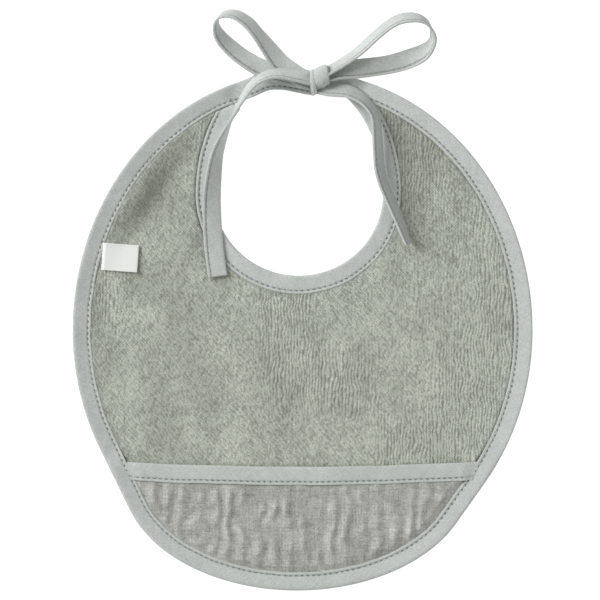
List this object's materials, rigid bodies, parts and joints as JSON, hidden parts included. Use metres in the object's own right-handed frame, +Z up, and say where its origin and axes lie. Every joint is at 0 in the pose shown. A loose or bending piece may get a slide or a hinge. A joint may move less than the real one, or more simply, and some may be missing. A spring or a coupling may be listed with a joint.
{
  "type": "cloth bib",
  "caption": "Round cloth baby bib lying flat: terry front, muslin crumb pocket along the bottom, bias-taped edges and tape ties knotted in a bow above the neck opening.",
  "frame": {"origin": "on the surface that the bib lies on, under the middle of the round body", "axes": "+Z up out of the front face, +Y from the pocket towards the ties, +X to the right as seen from the front"},
  "size_m": [0.2492, 0.3146, 0.02],
  "materials": {
    "terry": "looped cotton terry, sage green",
    "muslin": "crinkled double gauze, sage green",
    "tape": "plain-woven cotton bias tape, pale sage",
    "thread": "sewing thread, pale sage",
    "label": "white woven label, bare"
  },
  "bodies": {
    "bib": {"front_panel": "terry", "back_panel": "muslin", "outer_binding": "tape", "neck_binding": "tape", "outer_seam_thread": "thread", "neck_seam_thread": "thread", "left_tie_lead": "tape", "right_tie_lead": "tape", "left_lead_thread": "thread", "right_lead_thread": "thread", "bow_knot": "tape"},
    "pocket": {"pocket_panel": "muslin", "pocket_binding": "tape", "pocket_hem_thread": "thread"},
    "label": {"side_label": "label"},
    "left_loop": {"left_bow_loop": "tape", "left_loop_thread": "thread"},
    "right_loop": {"right_bow_loop": "tape", "right_loop_thread": "thread"},
    "left_tail": {"left_tie_tail": "tape", "left_tail_thread": "thread"},
    "right_tail": {"right_tie_tail": "tape", "right_tail_thread": "thread"}
  },
  "joints": [
    {"name": "pocket_mouth", "type": "hinge", "parent": "bib", "child": "pocket", "pos_m": [-0.003, -0.131, 0.0046], "axis": [1, 0, 0], "range_deg": [0, 20]},
    {"name": "label_flip", "type": "hinge", "parent": "bib", "child": "label", "pos_m": [-0.10854, 0.03995, 0.00485], "axis": [-0.0698, -0.9976, 0], "range_deg": [0, 150]},
    {"name": "left_loop_swing", "type": "hinge", "parent": "bib", "child": "left_loop", "pos_m": [0.0033, 0.1448, 0.0057], "axis": [0, 0, -1], "range_deg": [0, 25]},
    {"name": "right_loop_swing", "type": "hinge", "parent": "bib", "child": "right_loop", "pos_m": [0.0146, 0.1469, 0.0086], "axis": [0, 0, 1], "range_deg": [0, 25]},
    {"name": "left_tail_lift", "type": "hinge", "parent": "bib", "child": "left_tail", "pos_m": [0.0031, 0.1387, 0.0172], "axis": [0, 1, 0], "range_deg": [0, 50]},
    {"name": "right_tail_lift", "type": "hinge", "parent": "bib", "child": "right_tail", "pos_m": [0.014, 0.1301, 0.0126], "axis": [0, -1, 0], "range_deg": [0, 50]}
  ]
}
